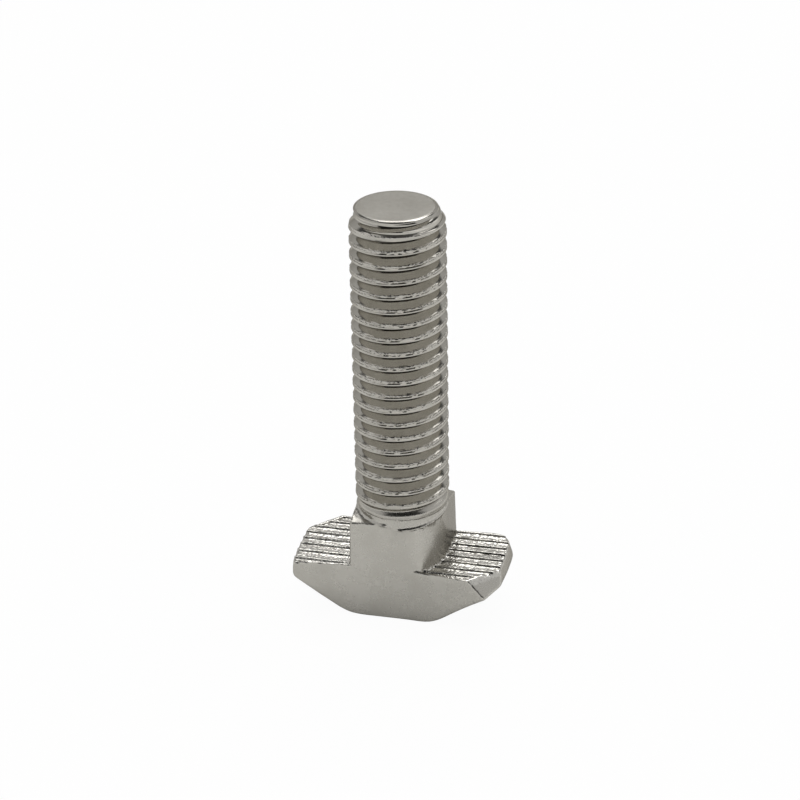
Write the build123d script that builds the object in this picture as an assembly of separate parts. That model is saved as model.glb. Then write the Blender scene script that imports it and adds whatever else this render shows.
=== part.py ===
"""T-slot bolt with a hammer head, forged and thread-rolled in one piece.

The bolt stands on the flat under its head, with the thread pointing up.  The head is long
in X and narrow in Y: it drops into the slot lengthways and locks after a quarter turn.
The two rounded neck corners let it turn clockwise only, seen from the thread end, and the
two square ones stop it.  The ribs on top of the arms bite into the slot's lips.
"""
from build123d import *
import math
import os

# ---- Driving dimensions, in millimetres and degrees ---------------------------------------

# Thread, M8 coarse, rolled, right hand
crest_diameter = 7.78
groove_bottom_diameter = 6.5
thread_pitch = 1.25
crest_flat = 0.16
groove_flat = 0.30
run_out_turns = 1.0
thread_length = 25.3

# Shank, from the neck to the tip
length_above_ribs = 31.0
collar_diameter = 7.44
collar_height = 1.15
tip_flat_diameter = 6.27
tip_chamfer_height = 0.62

# Neck, square, with two opposite corners rounded to the neck's own half width
neck_width = 7.56
neck_height = 4.03
neck_draft = 2.5
neck_square_corner_radius = 0.35
neck_top_slope = 12.0

# Head, seen from above
head_length = 17.96
end_bulge = 0.15
flare_end_width = 8.24
flare_round_width = 9.6
flare_start = 1.5
front_left_corner_radius = 0.35
back_right_corner_radius = 1.90
round_corner_radius = 2.6
rib_level_corner_radius = 4.0

# Head, seen from the front
head_thickness = 4.87
end_draft_height = 1.45
end_draft = 0.40
base_flat_length = 7.1
base_slope = 36.0
base_bend_radius = 5.0
end_bevel_length = 17.5
end_bevel_slope = 74.0
right_toe_start = 7.0
right_toe_slope = 26.0
base_twist = -5.5

# Ribs on the arms, running along X
rib_count = 8
rib_pitch = 1.0
rib_height = 0.24
rib_crest_width = 0.22
rib_valley_width = 0.44

# ---- Heights and radii that follow ---------------------------------------------------------

neck_top = head_thickness + neck_height
tip_height = head_thickness + length_above_ribs
crest_radius = crest_diameter / 2
groove_radius = groove_bottom_diameter / 2
collar_radius = collar_diameter / 2
tip_flat_radius = tip_flat_diameter / 2
neck_half = neck_width / 2
end_x = head_length / 2
side_x = end_x - end_bulge

# Allowances for the modelling alone: how far tools reach past the surface they cut
overlap = 0.5
mouth_clearance = 0.05
valley_clearance = 0.12
turns_per_cut = 2


def head_outline(end_inset, round_radius):
    """Plan of the head: waisted at the neck, bulged ends, two sharp and two round corners.

    end_inset draws the ends in, for the outline at the ribs.
    """
    corner_x = side_x - end_inset
    flare_y = flare_round_width / 2
    sharp_y = flare_end_width / 2
    front_waist = (-neck_half, -neck_half)
    front_flare = (flare_start, -neck_half)
    back_waist = (neck_half, neck_half)
    back_flare = (-flare_start, neck_half)
    front_left = (-corner_x, -sharp_y)
    front_right = (corner_x, -flare_y)
    back_right = (corner_x, sharp_y)
    back_left = (-corner_x, flare_y)
    outline = make_face([
        Line(front_left, front_waist),
        Line(front_waist, front_flare),
        Line(front_flare, front_right),
        ThreePointArc(front_right, (end_x - end_inset, 0), back_right),
        Line(back_right, back_waist),
        Line(back_waist, back_flare),
        Line(back_flare, back_left),
        ThreePointArc(back_left, (end_inset - end_x, 0), front_left),
    ])
    rounding = {
        front_left: front_left_corner_radius,
        back_right: back_right_corner_radius,
        front_right: round_radius,
        back_left: round_radius,
    }
    for corner, radius in rounding.items():
        outline = fillet(outline.vertices().sort_by_distance(corner)[0], radius)
    return outline


def head_blank():
    """Upright walls below, then ends and round corners that lean in up to the ribs."""
    draft_bottom = head_thickness - end_draft_height
    low_outline = head_outline(0, round_corner_radius)
    rib_outline = head_outline(end_draft, rib_level_corner_radius)
    lower = extrude(low_outline, draft_bottom)
    upper = loft([Pos(0, 0, draft_bottom) * low_outline,
                  Pos(0, 0, head_thickness) * rib_outline], ruled=True)
    return lower + upper


def base_block():
    """Block with the flat base and the slopes up to the ends, turned by the die's twist.

    The left slope ends in a steep bevel and the right one in a shallower toe.
    """
    rise = math.tan(math.radians(base_slope))
    flat_x = base_flat_length / 2
    bevel_x = end_bevel_length / 2
    bevel_z = (bevel_x - flat_x) * rise
    toe_z = (right_toe_start - flat_x) * rise
    top_z = head_thickness + overlap
    left_top_x = bevel_x + (top_z - bevel_z) / math.tan(math.radians(end_bevel_slope))
    right_top_x = right_toe_start + (top_z - toe_z) / math.tan(math.radians(right_toe_slope))
    points = [
        (-flat_x, 0),
        (flat_x, 0),
        (right_toe_start, toe_z),
        (right_top_x, top_z),
        (-left_top_x, top_z),
        (-bevel_x, bevel_z),
    ]
    outline = make_face(Polyline(*points, close=True))
    for side in (-1, 1):
        bend = outline.vertices().sort_by_distance((side * flat_x, 0))[0]
        outline = fillet(bend, base_bend_radius)
    block = extrude(Plane.XZ * outline, flare_round_width, both=True)
    return Rot(0, 0, base_twist) * block


def rib_valleys():
    """Trapezoid grooves between the ribs, cut from above along X."""
    floor_z = head_thickness - rib_height
    top_width = rib_pitch - rib_crest_width
    spread = (top_width - rib_valley_width) / (2 * rib_height)
    rise = rib_height + valley_clearance
    half_top = rib_valley_width / 2 + spread * rise
    section = make_face(Polyline(
        (-rib_valley_width / 2, floor_z),
        (rib_valley_width / 2, floor_z),
        (half_top, floor_z + rise),
        (-half_top, floor_z + rise),
        close=True,
    ))
    valley = extrude(Plane.YZ * section, end_x + overlap, both=True)
    first = -rib_pitch * rib_count / 2
    return [Pos(0, first + rib_pitch * index, 0) * valley for index in range(rib_count + 1)]


def head():
    """Hammer head with its ribbed bearing faces."""
    blank = head_blank() & base_block()
    for valley in rib_valleys():
        blank = blank - valley
    return blank


def neck():
    """Drafted neck from inside the head up to the shank, with a shallow cone on top."""
    square = Rectangle(neck_width, neck_width)
    disc = Circle(neck_half)
    quarter = Rectangle(neck_half, neck_half, align=(Align.MIN, Align.MAX))
    kept = square - quarter - Rot(0, 0, 180) * quarter
    section = kept + disc
    for corner in ((-neck_half, -neck_half), (neck_half, neck_half)):
        section = fillet(section.vertices().sort_by_distance(corner)[0],
                         neck_square_corner_radius)
    slope = math.tan(math.radians(neck_top_slope))
    corner_reach = neck_half * math.sqrt(2)
    cone_height = (corner_reach - collar_radius) * slope
    column_height = neck_height + cone_height
    column = extrude(Pos(0, 0, head_thickness) * section, column_height, taper=neck_draft)
    root = extrude(section, head_thickness - rib_height)
    root = Pos(0, 0, rib_height) * root
    cap_points = [
        (0, 0),
        (corner_reach + overlap, 0),
        (corner_reach + overlap, neck_top - overlap * slope),
        (collar_radius, neck_top + cone_height),
        (0, neck_top + cone_height),
    ]
    cap = revolve(Plane.XZ * make_face(Polyline(*cap_points, close=True)), Axis.Z)
    return root + (column & cap)


def shank():
    """Shank blank at the crest diameter, with the plain collar and the chamfered tip."""
    collar_top = neck_top + collar_height
    step = crest_radius - collar_radius
    points = [
        (0, head_thickness),
        (groove_radius, head_thickness),
        (collar_radius, neck_top),
        (collar_radius, collar_top),
        (crest_radius, collar_top + step),
        (crest_radius, tip_height - tip_chamfer_height),
        (tip_flat_radius, tip_height),
        (0, tip_height),
    ]
    return revolve(Plane.XZ * make_face(Polyline(*points, close=True)), Axis.Z)


def groove_solid(start_z, height, corners, start_depth_radius):
    """Closed solid wound along a helix.

    corners lists (radius, height above the groove's middle) around the groove's section.
    start_depth_radius is where the two inner corners start: the groove radius for a groove
    of even depth, or a radius outside the shank for one that runs out.
    """
    wires = []
    for radius, offset in corners:
        start_radius = start_depth_radius if radius == groove_radius else radius
        cone = math.degrees(math.atan2(radius - start_radius, height))
        wires.append(Edge.make_helix(
            thread_pitch / math.cos(math.radians(cone)),
            height,
            start_radius,
            center=(0, 0, start_z + offset),
            angle=cone,
        ))
    faces = []
    for index, wire in enumerate(wires):
        following = wires[(index + 1) % len(wires)]
        faces.append(Face.make_surface_from_curves(wire, following))
    for end in (0, 1):
        ring = [wire @ end for wire in wires]
        faces.append(Face(Wire.make_polygon(ring, close=True)))
    return Solid(Shell(faces))


def thread_grooves():
    """Cuts for the thread's groove: the run-out first, then lengths of two turns each."""
    half_flat = groove_flat / 2
    half_mouth = (thread_pitch - crest_flat) / 2
    flank = (half_mouth - half_flat) / (crest_radius - groove_radius)
    mouth_radius = crest_radius + mouth_clearance
    half_open = half_mouth + mouth_clearance * flank
    corners = [
        (groove_radius, -half_flat),
        (mouth_radius, -half_open),
        (mouth_radius, half_open),
        (groove_radius, half_flat),
    ]
    full_start = tip_height - thread_length
    run_out_height = run_out_turns * thread_pitch
    cut_height = turns_per_cut * thread_pitch
    cut_count = math.ceil((thread_length + half_mouth) / cut_height)
    cuts = [groove_solid(full_start - run_out_height, run_out_height, corners,
                         crest_radius + mouth_clearance / 2)]
    for index in range(cut_count):
        start_z = full_start + index * cut_height
        cuts.append(groove_solid(start_z, cut_height, corners, groove_radius))
    return cuts


def bolt():
    """The whole forging as one solid."""
    threaded = shank()
    for cut in thread_grooves():
        threaded = threaded - cut
    return threaded + (neck() + head())


os.makedirs("parts", exist_ok=True)
export_step(bolt(), "parts/t_slot_bolt.step")
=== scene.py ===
"""Looks of the hammer-head T-slot bolt: its forged head, rolled thread and nickel plating.

Lengths are in millimetres and angles in degrees; the finished mesh is scaled to metres.
The bolt stands on its head with the thread up, and the head is long in X.
"""
import math

import bpy
from mathutils import Matrix, Vector


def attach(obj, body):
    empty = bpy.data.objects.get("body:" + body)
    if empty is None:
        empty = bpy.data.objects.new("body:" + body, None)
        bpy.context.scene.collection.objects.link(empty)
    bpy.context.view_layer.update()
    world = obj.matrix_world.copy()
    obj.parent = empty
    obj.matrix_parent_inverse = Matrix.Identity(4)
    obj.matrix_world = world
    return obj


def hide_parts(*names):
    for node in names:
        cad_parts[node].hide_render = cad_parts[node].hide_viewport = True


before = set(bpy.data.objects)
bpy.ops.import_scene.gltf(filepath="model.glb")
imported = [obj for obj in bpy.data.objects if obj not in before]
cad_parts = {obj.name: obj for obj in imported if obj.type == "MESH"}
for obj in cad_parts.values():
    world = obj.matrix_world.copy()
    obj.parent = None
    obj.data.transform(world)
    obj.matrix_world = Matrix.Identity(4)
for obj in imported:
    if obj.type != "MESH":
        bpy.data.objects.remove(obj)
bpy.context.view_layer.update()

MM = 0.001

# ---- Sizes of the bolt ----------------------------------------------------------------------

SIZES = {
    # head, seen from above: two opposite corners are sharp and two are round
    "Right end reach": 8.99,
    "Left end reach": 8.82,
    "End bulge": 0.14,
    "End skew": -0.02,
    "Right end lean": 0.42,
    "Left end lean": 0.05,
    "End lean height": 1.45,
    "End lean overrun": 0.3,
    "Waist half width": 3.76,
    "Sharp flare": 0.079,
    "Sharp flare start": 3.90,
    "Round flare": 0.108,
    "Round flare start": 1.50,
    "Flare blend": 0.15,
    "Round corner radius": 1.3,
    "Corner facet reach": 7.60,
    "Corner facet turn": 42.0,
    "Corner facet slope": 52.0,
    "Corner facet blend": 0.14,
    "Front left corner radius": 0.35,
    "Back right corner radius": 2.2,
    # head, seen from the front
    "Rib crest height": 4.89,
    "Base flat half length": 3.55,
    "Base slope": 36.5,
    "Right toe start": 7.0,
    "Right toe slope": 29.0,
    "Right toe blend": 0.4,
    "Base bend radius": 5.0,
    "Base twist": -5.5,
    "Base edge blend": 0.8,
    "End heel blend": 0.40,
    "Heel start": 3.0,
    "Heel end": 7.5,
    "Edge radius": 0.10,
    # ribs on the arms, and the lip along each long side of them
    "Rib pitch": 1.0,
    "Rib height": 0.14,
    "Rib crest width": 0.13,
    "Rib flank width": 0.13,
    "Right rib shift": 0.20,
    "Left rib shift": 0.42,
    "Left shift front": -3.5,
    "Left shift back": -1.2,
    "Rib wander": 0.12,
    "Rib ripple": 0.05,
    "Valley unevenness": 0.10,
    "Rib grain": 0.03,
    "Lip inset": 0.13,
    "Lip half width": 0.07,
    "Lip flank": 0.12,
    "Lip left end": 7.9,
    "Lip right end": 7.4,
    "Lip end fade": 0.2,
    # neck and collar
    "Neck half width": 3.76,
    "Neck front draft": 2.5,
    "Neck side draft": 0.8,
    "Neck corner radius": 0.40,
    "Neck foot height": 1.0,
    "Neck foot blend": 1.0,
    "Neck foot fillet": 0.10,
    "Round side blend": 0.5,
    "Round root swell": 0.62,
    "Neck wall height": 3.9,
    "Neck top height": 9.46,
    "Neck top slope": 6.0,
    "Neck top fall": 0.14,
    "Round side fall": 0.07,
    "Neck edge beads": 0.12,
    "Collar radius": 3.72,
    "Collar top": 9.60,
    "Collar foot height": 2.0,
    "Collar blend": 0.05,
    "Burr radius": 0.11,
    "Burr reach": 0.02,
    "Burr drop": 0.03,
    "Burr wander": 0.10,
    "Burr grain": 0.04,
    "Burr blend": 0.03,
    # thread
    "Crest radius": 3.89,
    "Root radius": 3.17,
    "Pitch": 1.25,
    "Crest height at +X": 1.164,
    "Crest land": 0.36,
    "Crest edge blend": 0.12,
    "Root flat": 0.12,
    "Root blend": 0.50,
    "Flank bulge": 0.30,
    "Fold depth": 0.045,
    "Fold height": 0.01,
    "Fold reach": 0.12,
    "Seam height": 0.14,
    "Seam core": 0.03,
    "Seam reach": 0.13,
    "Seam roughness": 0.42,
    "Run-out start": 9.40,
    "Run-out end": 11.30,
    "Crest growth start": 9.2,
    "Crest growth end": 10.6,
    "Hidden foot inset": 0.3,
    "Hidden foot end": 9.65,
    # tip, with depths measured down from the flat
    "Tip height": 35.83,
    "Tip flat radius": 3.13,
    "Tip edge radius": 3.36,
    "Tip edge height": 0.12,
    "Tip rim radius": 3.54,
    "Tip rim height": 0.98,
    "Tip step": 0.27,
    "Tip step height": 0.07,
    "Full thread start": 1.1,
    "Full thread end": 2.2,
    "Full thread growth": 0.2,
    "Tip lean": 0.15,
    "Tip lean in Y": 0.25,
    "Tip lean start": 0.02,
    "Tip lean end": 0.3,
    "Turning mark pitch": 0.20,
    "Turning mark depth": 0.008,
}

# depths of the turning marks below the tip: first trace, full, fading, gone
TURNING_MARKS = (0.10, 0.16, 0.86, 0.92)

# a smooth blend is this much wider than the radius it leaves on a square edge, and on the
# base's gentle bend it is narrower
BLEND_OVER_RADIUS = 1.17
BLEND_OVER_BEND_RADIUS = 0.206

# ---- Fineness of the meshes -----------------------------------------------------------------

HEAD_CELL = (0.12, 0.08, 0.08)
HEAD_REACH = (9.4, 4.9, 9.9)
HEAD_FLOOR = -0.3
HEAD_THINNING = 0.03
THREAD_COLUMNS = 160
THREAD_ROWS_PER_PITCH = 20
THREAD_FIRST_TURN = 4
THREAD_TURNS = 25
ROD_BOTTOM = 8.6
ROD_TOP = 36.2
ROD_CAP_DEPTH = 0.3
# rows gather at the crest's edges and near the root's, in shares of a pitch from the crest
GATHER_MIDDLE = 0.136
GATHER_SPAN = 0.284
GATHER_AMOUNT = 0.02
BLANK_LENGTH = 30.0
BLANK_COLUMNS = 192
BLANK_ROWS = 120
TIP_RINGS = 12
MERGE_DISTANCE = 0.0005
SHARP_ANGLE = 38.0

# ---- Nickel plating -------------------------------------------------------------------------

DARK_NICKEL = (0.455, 0.438, 0.398, 1)
PALE_NICKEL = (0.620, 0.605, 0.565, 1)
GRAZING_TINT = (0.45, 0.44, 0.42, 1)

# where each kind of surface lies: a pair runs from none to all, four run up and down again;
# facing is 1 straight up, and levels are heights, or radii for the crest
RIB_FACING = (0.25, 0.6)
RIB_LEVELS = (-0.5, -0.35, 0.05, 0.3)
THREAD_LEVELS = (10.4, 11.2)
FLAT_FACING = (0.93, 0.98)
RUN_OUT_LEVELS = (9.2, 9.7, 10.7, 11.6)
TIP_LEVELS = (-0.12, -0.04)
CREST_LEVELS = (-0.16, -0.06)
SEAM_SPREAD = (0.05, 0.15)

# shares of the pale nickel
PALE_SHARE = 0.26
CLOUD_TONE = 0.72
MOTTLE_TONE = 0.36
TIP_MOTTLE_TONE = 0.9
# painted highlight: the up-facing ribs are made paler, as the light from above falls on them
RIB_PAINTED_HIGHLIGHT = 0.45
# random pale grit on the ribs and the seam, partly real grain and partly painted glints
RIB_GRIT_AND_GLINT = 0.3
SEAM_GRIT_AND_GLINT = 0.5
RUN_OUT_TONE = -0.2
THREAD_TONE = -0.15
GRIT_CONTRAST = 2.6

SATIN_ROUGHNESS = 0.27
LEAST_ROUGHNESS = 0.08
THREAD_POLISH = 0.14
RIB_POLISH = 0.05
SEAM_DULLNESS = 0.04
TIP_DULLNESS = 0.06
MOTTLE_ROUGHNESS = 0.08
CLOUD_ROUGHNESS = 0.10

# heights of the fine relief
GRAIN_HEIGHT = 0.0006
TIP_GRAIN_HEIGHT = 0.0012
RUN_OUT_GRAIN_HEIGHT = 0.004
MOTTLE_HEIGHT = 0.0010
TIP_MOTTLE_HEIGHT = 0.003
RUN_OUT_MOTTLE_HEIGHT = 0.010
RIB_GRIT_HEIGHT = 0.017
SEAM_GRIT_HEIGHT = 0.05

# ---- Camera and studio ----------------------------------------------------------------------

CAMERA_AZIMUTH = 14.17
CAMERA_ELEVATION = 27.02
CAMERA_ROLL = -1.093
CAMERA_DISTANCE = 208.87
CAMERA_TARGET = (0.0, 0.0, 15.0)
CAMERA_SLIDE = (-0.13, 3.34)
LENS = 114.525
SENSOR_WIDTH = 36.0
NEAREST_SEEN = 1.0

# strengths of the studio's surfaces, as the metal mirrors them
ROOM_GLOW = 0.015
REAR_GLOW = 0.05
CEILING_GLOW = 0.06
BACKDROP_GLOW = 0.63
SIDE_GLOW = 0.68
HORIZON_GLOW = 1.3
BOX_GLOW = 4.0
CORNER_BOX_GLOW = 0.9

# edges of those surfaces, as shares of a direction's length: up is the height above the
# horizon, behind is away from the camera, and a corner box's width is side over behind
REAR_FRONT = (-0.1, 0.4)
BACKDROP_FRONT = (-0.15, 0.25)
BACKDROP_TOP = (0.53, 0.60)
SIDE_SPREAD = 1.2
SIDE_FRONT = (0.0, 0.12)
SIDE_TOP = (0.90, 0.98)
CEILING_RIM = (0.80, 0.97)
HORIZON_TOP = (0.06, 0.15)
HORIZON_LEFT = (-0.95, -0.1)
BOX_HEIGHTS = (0.62, 0.68, 0.84, 0.90)
BOX_WIDTHS = (-0.24, -0.12, 0.26, 0.40)
BOX_FRONT = (0.1, 0.3)
CORNER_BOX_HEIGHTS = (0.58, 0.64, 0.76, 0.82)
CORNER_BOX_WIDTHS = (1.1, 1.5, 2.6, 3.4)
CORNER_BOX_FRONT = (0.1, 0.2)
LEAST_BEHIND = 0.05

LAMP_WIDTH = 1500.0
LAMP_HEIGHT = 1000.0
LAMP_WATTS = 8.6

FLOOR_HALF_WIDTH = 1000.0
FLOOR_COLOUR = (0.8, 0.8, 0.79, 1)
FLOOR_WHITE = 0.96
# painted glow: in the metal the table glows, faintly in front and more strongly behind the bolt,
# as if lit from behind
FLOOR_PAINTED_GLOW_FRONT = 0.05
FLOOR_PAINTED_GLOW_REAR = 0.7
FLOOR_PAINTED_GLOW_START = 1.0
FLOOR_PAINTED_GLOW_END = 12.0


# ---- Numbers in a node tree -----------------------------------------------------------------

class Value:
    """A number in a node tree. Arithmetic on it adds the Math nodes that work it out."""

    def __init__(self, tree, socket):
        self.tree = tree
        self.socket = socket

    def math(self, operation, *others):
        node = self.tree.nodes.new("ShaderNodeMath")
        node.operation = operation
        for slot, value in zip(node.inputs, (self,) + others):
            connect(value, slot)
        return Value(self.tree, node.outputs[0])

    def __add__(self, other):
        return self.math("ADD", other)

    def __radd__(self, other):
        return self.math("ADD", other)

    def __sub__(self, other):
        return self.math("SUBTRACT", other)

    def __rsub__(self, other):
        return (self * -1.0) + other

    def __mul__(self, other):
        return self.math("MULTIPLY", other)

    def __truediv__(self, other):
        return self.math("DIVIDE", other)

    def __neg__(self):
        return self * -1.0

    def __abs__(self):
        return self.math("ABSOLUTE")


def connect(value, slot):
    """Feeds a socket from a Value, or sets it to a plain number."""
    if isinstance(value, Value):
        value.tree.links.new(value.socket, slot)
    else:
        slot.default_value = value


def smaller(a, b):
    """The smaller of two numbers: two solids joined, where both are distances."""
    return a.math("MINIMUM", b)


def larger(a, b):
    """The larger of two numbers: what two solids share, where both are distances."""
    return a.math("MAXIMUM", b)


def rounded(a, b, blend):
    """The larger of two distances, with the edge between them rounded."""
    return a.math("SMOOTH_MAX", b, blend)


def filleted(a, b, blend):
    """The smaller of two distances, with the inner corner between them filled."""
    return a.math("SMOOTH_MIN", b, blend)


def arc_rounded(a, b, radius):
    """The larger of two distances, with a true arc at the edge between them."""
    out_a = larger(a + radius, 0.0)
    out_b = larger(b + radius, 0.0)
    inside = smaller(larger(a, b) + radius, 0.0)
    return inside + (out_a * out_a + out_b * out_b).math("SQRT") - radius


def ramp(value, low, high):
    """0 below low, 1 above high, smooth between."""
    node = value.tree.nodes.new("ShaderNodeMapRange")
    node.interpolation_type = "SMOOTHSTEP"
    for name, source in (("Value", value), ("From Min", low), ("From Max", high)):
        connect(source, node.inputs[name])
    return Value(value.tree, node.outputs[0])


def band(value, start, full, fade, end):
    """1 from full to fade, and smoothly down to 0 at start and end."""
    return ramp(value, start, full) * (1.0 - ramp(value, fade, end))


def mix(share, a, b):
    """a where share is 0, b where it is 1."""
    return a * (1.0 - share) + b * share


def distance(a, b):
    """Length of the hypotenuse."""
    return (a * a + b * b).math("SQRT")


def tangent(angle):
    """Tangent of an angle in degrees."""
    return angle.math("RADIANS").math("TANGENT")


def cosine(angle):
    """Cosine of an angle in degrees."""
    return angle.math("RADIANS").math("COSINE")


def sine(angle):
    """Sine of an angle in degrees."""
    return angle.math("RADIANS").math("SINE")


def vector(x, y, z):
    """Socket that joins three numbers into a place."""
    node = x.tree.nodes.new("ShaderNodeCombineXYZ")
    for value, slot in zip((x, y, z), node.inputs):
        connect(value, slot)
    return node.outputs[0]


def coordinates(tree, place):
    """The three numbers of a place."""
    parts = tree.nodes.new("ShaderNodeSeparateXYZ")
    tree.links.new(place, parts.inputs[0])
    return [Value(tree, output) for output in parts.outputs]


def position(tree):
    """Coordinates of each point of the geometry."""
    return coordinates(tree, tree.nodes.new("GeometryNodeInputPosition").outputs[0])


def noise(x, y, z, waves, detail=2.0):
    """Noise around zero, from about -0.5 to 0.5, with so many waves in a millimetre."""
    node = x.tree.nodes.new("ShaderNodeTexNoise")
    x.tree.links.new(vector(x, y, z), node.inputs["Vector"])
    node.inputs["Scale"].default_value = waves
    node.inputs["Detail"].default_value = detail
    return Value(x.tree, node.outputs[0]) - 0.5


# ---- Head and neck: each function gives a distance, negative inside the metal ---------------

def long_side(size, along, across):
    """Waisted wall of the head; its far end along the head has the round corner."""
    waist = size["Waist half width"]
    blend = size["Flare blend"]
    sharp = waist + (-size["Sharp flare start"] - along) * size["Sharp flare"]
    flared = waist + (along - size["Round flare start"]) * size["Round flare"]
    return across - rounded(rounded(sharp, flared, blend), waist, blend)


def head_end(size, side, along, across, leaning):
    """Bulged end wall that leans in up to the ribs."""
    waist = size["Waist half width"]
    bulge = size["End bulge"] * (across * across) / (waist * waist)
    reach = size[side + " end reach"] - bulge - size[side + " end lean"] * leaning
    return along - (reach + across * size["End skew"])


def plan_of_head(size, x, y, z):
    """Side walls of the head: two sharp corners, two round ones with a slanting facet."""
    crest = size["Rib crest height"]
    leaning = ramp(z, crest - size["End lean height"], crest + size["End lean overrun"])
    front = long_side(size, x, -y)
    back = long_side(size, -x, y)
    right = head_end(size, "Right", x, y, leaning)
    left = head_end(size, "Left", -x, -y, leaning)
    front_right = arc_rounded(front, right, size["Round corner radius"])
    back_left = arc_rounded(back, left, size["Round corner radius"])
    front_left = rounded(front, left, size["Front left corner radius"] * BLEND_OVER_RADIUS)
    back_right = rounded(back, right, size["Back right corner radius"] * BLEND_OVER_RADIUS)
    walls = larger(larger(front_right, back_left), larger(front_left, back_right))
    slope = size["Corner facet slope"]
    turn = size["Corner facet turn"]
    diagonal = abs(x * cosine(turn) - y * sine(turn)) - size["Corner facet reach"]
    facets = diagonal * sine(slope) + (z - crest) * cosine(slope)
    return rounded(walls, facets, size["Corner facet blend"])


def base_of_head(size, x, y, z):
    """Flat base, turned a little by the die, and the slopes up to the ends."""
    twist = size["Base twist"]
    turned_x = x * cosine(twist) + y * sine(twist)
    slope = size["Base slope"]
    half_flat = size["Base flat half length"]
    rise = (abs(turned_x) - half_flat) * tangent(slope)
    toe_start = size["Right toe start"]
    toe = ((toe_start - half_flat) * tangent(slope)
           + (turned_x - toe_start) * tangent(size["Right toe slope"]))
    on_right = turned_x.math("GREATER_THAN", 0.0)
    rise = mix(on_right, rise, filleted(rise, toe, size["Right toe blend"]))
    slopes = (rise - z) * cosine(slope)
    return rounded(-z, slopes, size["Base bend radius"] * BLEND_OVER_BEND_RADIUS)


def top_of_head(size, x, y, z, plan):
    """Ribs that run along X between raised lips, as unevenly as forging leaves them."""
    pitch = size["Rib pitch"]
    wander = noise(x, y, z, waves=0.9) * size["Rib wander"]
    ripple = noise(x, y, z, waves=3.0) * size["Rib ripple"]
    on_left_arm = x.math("LESS_THAN", 0.0)
    left_shift = ramp(y, size["Left shift front"], size["Left shift back"])
    shift = size["Right rib shift"] + on_left_arm * size["Left rib shift"] * left_shift
    cell = (y + (wander + ripple) + pitch / 2.0 - shift) / pitch
    from_crest = abs(cell - cell.math("ROUND")) * pitch
    half_crest = size["Rib crest width"] / 2.0
    rib_fall = ramp(from_crest, half_crest, half_crest + size["Rib flank width"])
    from_lip = abs(plan + size["Lip inset"])
    lip_fall = ramp(from_lip, size["Lip half width"], size["Lip half width"] + size["Lip flank"])
    near_end = larger(-size["Lip left end"] - x, x - size["Lip right end"])
    fall = smaller(rib_fall, lip_fall + ramp(near_end, 0.0, size["Lip end fade"]))
    uneven = noise(x * 0.5, y, z, waves=1.6) * size["Valley unevenness"]
    grain = noise(x, y, z, waves=5.0) * size["Rib grain"]
    return z - size["Rib crest height"] + fall * size["Rib height"] + uneven * fall + grain


def neck_walls(size, x, y, z):
    """Drafted neck, square at two opposite corners and round at the other two."""
    half = size["Neck half width"]
    above = rounded(z - size["Rib crest height"], 0.0, size["Neck foot blend"])
    side_half = half - above * tangent(size["Neck side draft"])
    front_half = half - above * tangent(size["Neck front draft"])
    square = rounded(abs(x) - side_half, abs(y) - front_half,
                     size["Neck corner radius"] * BLEND_OVER_RADIUS)
    sideways = y / half
    lean = larger(1.0 - above / size["Neck wall height"], 0.0)
    swell = size["Round root swell"] * sideways * sideways * lean
    round_radius = (side_half + front_half) * 0.5 + swell
    round_side = rounded(distance(x, y) - round_radius, abs(y) - front_half,
                         size["Round side blend"])
    return mix((x * y).math("LESS_THAN", 0.0), square, round_side)


def neck_and_collar(size, x, y, z):
    """Neck with its sloping top, the plain collar, and the burr around the collar's foot."""
    away = distance(x, y)
    on_round_side = (x * y).math("LESS_THAN", 0.0)
    fall = size["Neck top fall"] + size["Round side fall"] * on_round_side
    drop = (away - size["Collar radius"]) * tangent(size["Neck top slope"]) + abs(y) * fall
    top = z - size["Neck top height"] + drop
    beads = noise(x, y, z, waves=2.6) * size["Neck edge beads"]
    neck = rounded(neck_walls(size, x, y, z), top + beads, size["Edge radius"])
    neck = larger(neck, size["Neck foot height"] - z)
    collar = larger(away - size["Collar radius"], z - size["Collar top"])
    collar = larger(collar, size["Collar foot height"] - z)
    burr_out = away - size["Collar radius"] - size["Burr reach"]
    burr_up = top + size["Burr drop"] + noise(x, y, z, waves=1.8) * size["Burr wander"]
    burr = distance(burr_out, burr_up) - size["Burr radius"]
    burr = burr + noise(x, y, z, waves=3.5) * size["Burr grain"]
    return filleted(filleted(neck, collar, size["Collar blend"]), burr, size["Burr blend"])


def head_and_neck(tree, size):
    """Mesh of the head, neck and collar, drawn where the distance is zero."""
    x, y, z = position(tree)
    plan = plan_of_head(size, x, y, z)
    base = base_of_head(size, x, y, z)
    top = top_of_head(size, x, y, z, plan)
    heel = mix(ramp(abs(x), size["Heel start"], size["Heel end"]),
               size["Base edge blend"], size["End heel blend"])
    forging = rounded(plan, base, heel)
    head = rounded(forging, top, size["Edge radius"])
    joined = filleted(head, neck_and_collar(size, x, y, z), size["Neck foot fillet"])
    body = larger(forging, joined)
    volume = tree.nodes.new("GeometryNodeVolumeCube")
    connect(1.0 - body, volume.inputs["Density"])
    low_corner = (-HEAD_REACH[0], -HEAD_REACH[1], HEAD_FLOOR)
    volume.inputs["Min"].default_value = low_corner
    volume.inputs["Max"].default_value = HEAD_REACH
    for axis, low, high, cell in zip("XYZ", low_corner, HEAD_REACH, HEAD_CELL):
        volume.inputs["Resolution " + axis].default_value = round((high - low) / cell)
    surface = tree.nodes.new("GeometryNodeVolumeToMesh")
    tree.links.new(volume.outputs["Volume"], surface.inputs["Volume"])
    surface.inputs["Threshold"].default_value = 1.0
    surface.inputs["Adaptivity"].default_value = HEAD_THINNING
    return surface.outputs["Mesh"]


# ---- Threaded shank -------------------------------------------------------------------------

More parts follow.
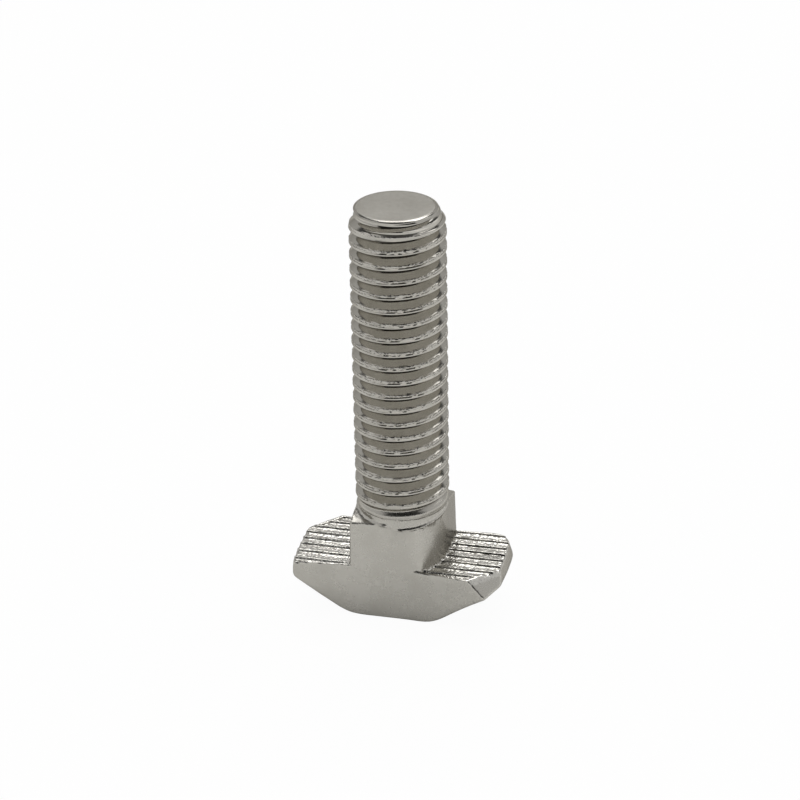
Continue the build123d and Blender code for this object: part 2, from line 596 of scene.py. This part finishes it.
def thread_profile(size, from_crest):
    """How far the surface has sunk from crest to root: 0 on the crest, 1 at the root."""
    half_land = size["Crest land"] / 2.0
    half_root = size["Root flat"] / 2.0
    flank_width = size["Pitch"] / 2.0 - half_root - half_land
    fall = (from_crest - half_land) / flank_width
    bulge = size["Flank bulge"]
    fall = fall * (1.0 - bulge) + fall * abs(fall) * bulge
    return filleted(rounded(fall, 0.0, size["Crest edge blend"]), 1.0, size["Root blend"])


def thread_radius(size, height, angle, above_crest):
    """Radius of the rolled thread, with the fold and the nicked seam along its crest."""
    depth = size["Crest radius"] - size["Root radius"]
    grown = ramp(height, size["Run-out start"], size["Run-out end"])
    growth = ramp(height, size["Crest growth start"], size["Crest growth end"])
    crest = size["Collar radius"] + (size["Crest radius"] - size["Collar radius"]) * growth
    fall = thread_profile(size, abs(above_crest))
    from_seam = abs(above_crest - size["Seam height"])
    seam = (1.0 - ramp(from_seam, size["Seam core"], size["Seam reach"])) * grown
    around_x = angle.math("COSINE") * size["Crest radius"]
    around_y = angle.math("SINE") * size["Crest radius"]
    nicks = noise(around_x, around_y, height * 2.0, waves=2.4, detail=3.0)
    nicks = nicks * size["Seam roughness"]
    from_fold = abs(above_crest - size["Fold height"])
    fold = (1.0 - ramp(from_fold, 0.0, size["Fold reach"])) * size["Fold depth"] * grown
    radius = crest - fall * depth * grown + smaller(nicks, 0.0) * seam - fold
    hidden = ramp(height, size["Crest growth start"], size["Hidden foot end"])
    return mix(hidden, size["Collar radius"] - size["Hidden foot inset"], radius)


def thread_surface(tree, size):
    """Closed rod whose rows of points climb with the thread."""
    grid = tree.nodes.new("GeometryNodeMeshGrid")
    grid.inputs["Size X"].default_value = 1.0
    grid.inputs["Size Y"].default_value = 1.0
    grid.inputs["Vertices X"].default_value = THREAD_COLUMNS + 1
    grid.inputs["Vertices Y"].default_value = THREAD_TURNS * THREAD_ROWS_PER_PITCH + 1
    u, v, _ = position(tree)
    turn = u + 0.5
    angle = turn * math.tau
    climbed = (v + 0.5) * float(THREAD_TURNS)
    whole = climbed.math("ROUND")
    part = climbed - whole
    # no row moves on the crest's middle or at the root's, so the turns still meet
    window = abs(part) * (0.5 - abs(part)) * 16.0
    gather = ((abs(part) - GATHER_MIDDLE) * (math.tau / GATHER_SPAN)).math("SINE")
    part = part - gather * window * GATHER_AMOUNT * part.math("SIGN")
    turns_up = whole + part + turn + THREAD_FIRST_TURN
    height = turns_up * size["Pitch"] + size["Crest height at +X"]
    radius = thread_radius(size, height, angle, part * size["Pitch"])
    bottom_share = ramp(height, ROD_BOTTOM - ROD_CAP_DEPTH, ROD_BOTTOM)
    top_share = 1.0 - ramp(height, ROD_TOP, ROD_TOP + ROD_CAP_DEPTH)
    radius = radius * smaller(bottom_share, top_share)
    height = smaller(larger(height, ROD_BOTTOM), ROD_TOP)
    place = vector(radius * angle.math("COSINE"), radius * angle.math("SINE"), height)
    set_position = tree.nodes.new("GeometryNodeSetPosition")
    tree.links.new(grid.outputs["Mesh"], set_position.inputs["Geometry"])
    tree.links.new(place, set_position.inputs["Position"])
    merge = tree.nodes.new("GeometryNodeMergeByDistance")
    merge.inputs["Distance"].default_value = MERGE_DISTANCE
    tree.links.new(set_position.outputs[0], merge.inputs["Geometry"])
    return merge.outputs[0]


def blank_radius(size, below):
    """Radius of the turned blank at a depth below the tip's flat."""
    edge_width = size["Tip edge radius"] - size["Tip flat radius"]
    edge = ramp(below, 0.0, size["Tip edge height"]).math("SQRT") * edge_width
    cone_width = size["Tip rim radius"] - size["Tip edge radius"]
    rim = size["Tip rim height"]
    cone = ramp(below, size["Tip edge height"], rim) * cone_width
    step = ramp(below, rim, rim + size["Tip step height"]) * size["Tip step"]
    growth = ramp(below, size["Full thread start"], size["Full thread end"])
    taper = step + growth * size["Full thread growth"]
    marks = (below * math.tau / size["Turning mark pitch"]).math("SINE")
    marks = marks * band(below, *TURNING_MARKS) * size["Turning mark depth"]
    return size["Tip flat radius"] + edge + cone + taper + marks


def blank_surface(tree, size):
    """Turned blank that the thread is rolled on, with its stepped end and leaning flat tip."""
    cylinder = tree.nodes.new("GeometryNodeMeshCylinder")
    cylinder.inputs["Vertices"].default_value = BLANK_COLUMNS
    cylinder.inputs["Side Segments"].default_value = BLANK_ROWS
    cylinder.inputs["Fill Segments"].default_value = TIP_RINGS
    cylinder.inputs["Radius"].default_value = 1.0
    cylinder.inputs["Depth"].default_value = 1.0
    x, y, z = position(tree)
    # rows lie closer together towards the tip
    share = 0.5 - z
    below = share * share * share * BLANK_LENGTH
    radius = blank_radius(size, below)
    lean = size["Tip lean"] * (1.0 - ramp(below, size["Tip lean start"], size["Tip lean end"]))
    place = vector(x * radius - lean, y * radius - lean * size["Tip lean in Y"],
                   size["Tip height"] - below)
    set_position = tree.nodes.new("GeometryNodeSetPosition")
    tree.links.new(cylinder.outputs["Mesh"], set_position.inputs["Geometry"])
    tree.links.new(place, set_position.inputs["Position"])
    return set_position.outputs[0]


# ---- The whole bolt -------------------------------------------------------------------------

def boolean(tree, operation, first, second):
    """What two closed meshes share (INTERSECT), or both joined (UNION)."""
    node = tree.nodes.new("GeometryNodeMeshBoolean")
    node.operation = operation
    node.solver = "MANIFOLD"
    tree.links.new(second, node.inputs["Mesh 2"])
    tree.links.new(first, node.inputs["Mesh 2"])
    return node.outputs["Mesh"]


def shaded(tree, mesh):
    """Smooth shading that breaks at sharp edges."""
    smooth = tree.nodes.new("GeometryNodeSetShadeSmooth")
    tree.links.new(mesh, smooth.inputs["Geometry"])
    angle = Value(tree, tree.nodes.new("GeometryNodeInputMeshEdgeAngle").outputs[0])
    creased = tree.nodes.new("GeometryNodeSetShadeSmooth")
    creased.domain = "EDGE"
    gentle = angle.math("LESS_THAN", math.radians(SHARP_ANGLE))
    connect(gentle, creased.inputs["Shade Smooth"])
    tree.links.new(smooth.outputs[0], creased.inputs["Geometry"])
    return creased.outputs[0]


def bolt_tree(finish):
    """Geometry Nodes tree of the forging, with every size as a named input."""
    tree = bpy.data.node_groups.new("T-slot bolt", "GeometryNodeTree")
    tree.interface.new_socket("Geometry", in_out="OUTPUT", socket_type="NodeSocketGeometry")
    for name, value in SIZES.items():
        socket = tree.interface.new_socket(name, in_out="INPUT", socket_type="NodeSocketFloat")
        socket.default_value = value
    entry = tree.nodes.new("NodeGroupInput")
    size = {name: Value(tree, entry.outputs[name]) for name in SIZES}
    shank = boolean(tree, "INTERSECT", thread_surface(tree, size), blank_surface(tree, size))
    whole = boolean(tree, "UNION", head_and_neck(tree, size), shank)
    scale = tree.nodes.new("GeometryNodeTransform")
    scale.inputs["Scale"].default_value = (MM, MM, MM)
    tree.links.new(whole, scale.inputs["Geometry"])
    realize = tree.nodes.new("GeometryNodeRealizeInstances")
    tree.links.new(scale.outputs[0], realize.inputs[0])
    paint = tree.nodes.new("GeometryNodeSetMaterial")
    paint.inputs["Material"].default_value = finish
    tree.links.new(shaded(tree, realize.outputs[0]), paint.inputs["Geometry"])
    leave = tree.nodes.new("NodeGroupOutput")
    tree.links.new(paint.outputs[0], leave.inputs[0])
    return tree


def build_bolt(finish):
    """Plain mesh object of the whole forging."""
    tree = bolt_tree(finish)
    mesh = bpy.data.meshes.new("bolt")
    forging = bpy.data.objects.new("t_slot_bolt_forging", mesh)
    bpy.context.scene.collection.objects.link(forging)
    modifier = forging.modifiers.new("bolt", "NODES")
    modifier.node_group = tree
    for item in tree.interface.items_tree:
        if item.in_out == "INPUT":
            modifier[item.identifier] = SIZES[item.name]
    evaluated = forging.evaluated_get(bpy.context.evaluated_depsgraph_get())
    forging.data = bpy.data.meshes.new_from_object(evaluated)
    forging.modifiers.clear()
    return forging


# ---- Finish ---------------------------------------------------------------------------------

def texture_noise(tree, place, waves, detail, roughness=0.6):
    """Noise from 0 to 1 on the bolt's own coordinates, with so many waves in a millimetre."""
    node = tree.nodes.new("ShaderNodeTexNoise")
    tree.links.new(place, node.inputs["Vector"])
    node.inputs["Scale"].default_value = waves / MM
    node.inputs["Detail"].default_value = detail
    node.inputs["Roughness"].default_value = roughness
    return Value(tree, node.outputs[0])


def kinds_of_surface(tree, where):
    """Masks, from 0 to 1, of the ribs, the thread, its run-out, the tip and the crest's seam."""
    x, y, z = (number / MM for number in coordinates(tree, where.outputs["Object"]))
    up = coordinates(tree, where.outputs["Normal"])[2]
    pitch = SIZES["Pitch"]
    ribbed = ramp(up, *RIB_FACING) * band(z - SIZES["Rib crest height"], *RIB_LEVELS)
    threaded = ramp(z, *THREAD_LEVELS) * (1.0 - ramp(up, *FLAT_FACING))
    run_out = band(z, *RUN_OUT_LEVELS)
    tip = ramp(z - SIZES["Tip height"], *TIP_LEVELS)
    turn = y.math("ARCTAN2", x) / math.tau
    climb = (z - SIZES["Crest height at +X"]) / pitch - turn
    above_crest = (climb - climb.math("ROUND")) * pitch
    on_crest = ramp(distance(x, y) - SIZES["Crest radius"], *CREST_LEVELS)
    by_seam = 1.0 - ramp(abs(above_crest - SIZES["Seam height"]), *SEAM_SPREAD)
    return ribbed, threaded, run_out, tip, by_seam * on_crest * threaded


def nickel_plating():
    """Satin nickel over forged and rolled steel: grained ribs with a painted highlight, nicked
    crests, soft mottling.
    """
    material = bpy.data.materials.new("satin nickel")
    material.use_nodes = True
    tree = material.node_tree
    shader = tree.nodes["Principled BSDF"]
    shader.inputs["Metallic"].default_value = 1.0
    shader.inputs["Specular Tint"].default_value = GRAZING_TINT
    where = tree.nodes.new("ShaderNodeTexCoord")
    ribbed, threaded, run_out, tip, seam = kinds_of_surface(tree, where)
    place = where.outputs["Object"]
    cloud = texture_noise(tree, place, waves=0.45, detail=4.0)
    mottle = texture_noise(tree, place, waves=2.2, detail=5.0, roughness=0.7)
    grain = texture_noise(tree, place, waves=7.0, detail=2.0, roughness=0.7)
    sand = texture_noise(tree, place, waves=4.2, detail=1.0, roughness=0.5)
    grit = smaller(larger((sand - 0.5) * GRIT_CONTRAST + 0.5, 0.0), 1.0)

    share = (cloud - 0.5) * CLOUD_TONE + PALE_SHARE
    share = share + (mottle - 0.5) * (tip * TIP_MOTTLE_TONE + MOTTLE_TONE)
    # painted highlight: the up-facing ribs are made paler; the grit on the ribs and the seam is
    # random pale grain that partly paints glints
    share = share + ribbed * (grit * RIB_GRIT_AND_GLINT + RIB_PAINTED_HIGHLIGHT) + seam * grit * SEAM_GRIT_AND_GLINT
    share = share + run_out * RUN_OUT_TONE + threaded * THREAD_TONE
    colour = tree.nodes.new("ShaderNodeMix")
    colour.data_type = "RGBA"
    colour.inputs["A"].default_value = DARK_NICKEL
    colour.inputs["B"].default_value = PALE_NICKEL
    connect(smaller(larger(share, 0.0), 1.0), colour.inputs["Factor"])
    tree.links.new(colour.outputs["Result"], shader.inputs["Base Color"])

    roughness = SATIN_ROUGHNESS - threaded * THREAD_POLISH - ribbed * RIB_POLISH
    roughness = roughness + seam * SEAM_DULLNESS + tip * TIP_DULLNESS
    roughness = roughness + (mottle - 0.5) * MOTTLE_ROUGHNESS + (cloud - 0.5) * CLOUD_ROUGHNESS
    connect(larger(roughness, LEAST_ROUGHNESS), shader.inputs["Roughness"])

    height = grain * (GRAIN_HEIGHT + tip * TIP_GRAIN_HEIGHT + run_out * RUN_OUT_GRAIN_HEIGHT)
    height = height + mottle * (MOTTLE_HEIGHT + tip * TIP_MOTTLE_HEIGHT
                                + run_out * RUN_OUT_MOTTLE_HEIGHT)
    height = height + grit * (ribbed * RIB_GRIT_HEIGHT + seam * SEAM_GRIT_HEIGHT)
    bump = tree.nodes.new("ShaderNodeBump")
    bump.inputs["Strength"].default_value = 1.0
    bump.inputs["Distance"].default_value = MM
    connect(height, bump.inputs["Height"])
    tree.links.new(bump.outputs[0], shader.inputs["Normal"])
    return material


# ---- Stage ----------------------------------------------------------------------------------

def seen_from_camera(x, y):
    """Turns X and Y into sideways (right) and backwards, as the camera faces."""
    turn = math.radians(CAMERA_AZIMUTH)
    side = x * math.cos(turn) + y * math.sin(turn)
    behind = y * math.cos(turn) - x * math.sin(turn)
    return side, behind


def add_camera():
    """Long lens, a little above the bolt and to its right, rolled by a degree."""
    azimuth = math.radians(CAMERA_AZIMUTH)
    elevation = math.radians(CAMERA_ELEVATION)
    roll = math.radians(CAMERA_ROLL)
    right = Vector((math.cos(azimuth), math.sin(azimuth), 0))
    ahead = Vector((-math.sin(azimuth) * math.cos(elevation),
                    math.cos(azimuth) * math.cos(elevation), -math.sin(elevation)))
    up = right.cross(ahead)
    across = right * math.cos(roll) + up * math.sin(roll)
    upward = up * math.cos(roll) - right * math.sin(roll)
    place = (Vector(CAMERA_TARGET) - ahead * CAMERA_DISTANCE
             + across * CAMERA_SLIDE[0] + upward * CAMERA_SLIDE[1])
    lens = bpy.data.cameras.new("camera")
    lens.lens = LENS
    lens.sensor_width = SENSOR_WIDTH
    lens.clip_start = NEAREST_SEEN * MM
    camera = bpy.data.objects.new("camera", lens)
    bpy.context.scene.collection.objects.link(camera)
    camera_matrix = Matrix((across, upward, -ahead)).transposed().to_4x4()
    camera_matrix.translation = place * MM
    camera.matrix_world = camera_matrix
    bpy.context.scene.camera = camera


def add_world():
    """Dark studio with a pale backdrop behind, soft side light and bright boxes up behind.

    The camera itself sees white all round.
    """
    world = bpy.data.worlds.new("studio")
    bpy.context.scene.world = world
    world.use_nodes = True
    tree = world.node_tree
    background = tree.nodes["Background"]
    where = tree.nodes.new("ShaderNodeTexCoord")
    x, y, up = coordinates(tree, where.outputs["Generated"])
    side, behind = seen_from_camera(x, y)
    backdrop = ramp(behind, *BACKDROP_FRONT) * (1.0 - ramp(up, *BACKDROP_TOP))
    beside = ramp(abs(side) - abs(behind) * SIDE_SPREAD, *SIDE_FRONT)
    side_light = beside * (1.0 - ramp(up, *SIDE_TOP))
    ceiling = ramp(up, *CEILING_RIM)
    horizon = (1.0 - ramp(up, *HORIZON_TOP)) * ramp(side, *HORIZON_LEFT)
    box = band(up, *BOX_HEIGHTS) * band(side, *BOX_WIDTHS) * ramp(behind, *BOX_FRONT)
    beyond = abs(side / larger(behind, LEAST_BEHIND))
    corner_box = band(up, *CORNER_BOX_HEIGHTS) * band(beyond, *CORNER_BOX_WIDTHS)
    corner_box = corner_box * ramp(behind, *CORNER_BOX_FRONT)
    glow = ROOM_GLOW + ceiling * CEILING_GLOW + ramp(behind, *REAR_FRONT) * REAR_GLOW
    glow = larger(glow, backdrop * BACKDROP_GLOW)
    glow = larger(glow, side_light * SIDE_GLOW)
    glow = larger(glow, horizon * HORIZON_GLOW)
    glow = glow + box * BOX_GLOW + corner_box * (1.0 + side) * CORNER_BOX_GLOW
    seen = Value(tree, tree.nodes.new("ShaderNodeLightPath").outputs["Is Camera Ray"])
    connect(larger(glow, seen), background.inputs["Strength"])
    background.inputs["Color"].default_value = (1, 1, 1, 1)


def add_table_light():
    """Wide soft lamp straight above that lights the table and stays out of the metal."""
    lamp = bpy.data.lights.new("table light", "AREA")
    lamp.shape = "SQUARE"
    lamp.size = LAMP_WIDTH * MM
    lamp.energy = LAMP_WATTS
    light = bpy.data.objects.new("table light", lamp)
    light.location = (0.0, 0.0, LAMP_HEIGHT * MM)
    light.visible_glossy = False
    bpy.context.scene.collection.objects.link(light)


def pale_table():
    """Matt table that looks white and keeps the bolt's shadow; in the metal it shows a painted
    glow, faint in front of the bolt and brighter behind it.
    """
    material = bpy.data.materials.new("pale table")
    material.use_nodes = True
    tree = material.node_tree
    shader = tree.nodes["Principled BSDF"]
    shader.inputs["Base Color"].default_value = FLOOR_COLOUR
    shader.inputs["Roughness"].default_value = 1.0
    shader.inputs["Specular IOR Level"].default_value = 0.0
    path = tree.nodes.new("ShaderNodeLightPath")
    by_camera = Value(tree, path.outputs["Is Camera Ray"])
    by_metal = Value(tree, path.outputs["Is Glossy Ray"])
    by_glass = Value(tree, path.outputs["Is Transmission Ray"])
    where = tree.nodes.new("ShaderNodeTexCoord")
    x, y, _ = (number / MM for number in coordinates(tree, where.outputs["Object"]))
    _, behind = seen_from_camera(x, y)
    # painted glow seen in the metal: the table glows faintly in front and more strongly behind the
    # bolt
    painted_glow = FLOOR_PAINTED_GLOW_FRONT + ramp(behind, FLOOR_PAINTED_GLOW_START, FLOOR_PAINTED_GLOW_END) * FLOOR_PAINTED_GLOW_REAR
    white = tree.nodes.new("ShaderNodeEmission")
    blend = tree.nodes.new("ShaderNodeMixShader")
    connect(by_camera * FLOOR_WHITE + (by_metal + by_glass) * painted_glow, blend.inputs[0])
    tree.links.new(shader.outputs[0], blend.inputs[1])
    tree.links.new(white.outputs[0], blend.inputs[2])
    tree.links.new(blend.outputs[0], tree.nodes["Material Output"].inputs["Surface"])
    return material


def add_floor():
    """Square table under the bolt."""
    half = FLOOR_HALF_WIDTH * MM
    corners = [(-half, -half, 0), (half, -half, 0), (half, half, 0), (-half, half, 0)]
    mesh = bpy.data.meshes.new("floor")
    mesh.from_pydata(corners, [], [(0, 1, 2, 3)])
    mesh.materials.append(pale_table())
    floor = bpy.data.objects.new("floor", mesh)
    bpy.context.scene.collection.objects.link(floor)


add_camera()
bolt = build_bolt(nickel_plating())
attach(bolt, "root")
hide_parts("t_slot_bolt")
add_floor()
add_world()
add_table_light()
bpy.context.scene.view_settings.view_transform = "Standard"
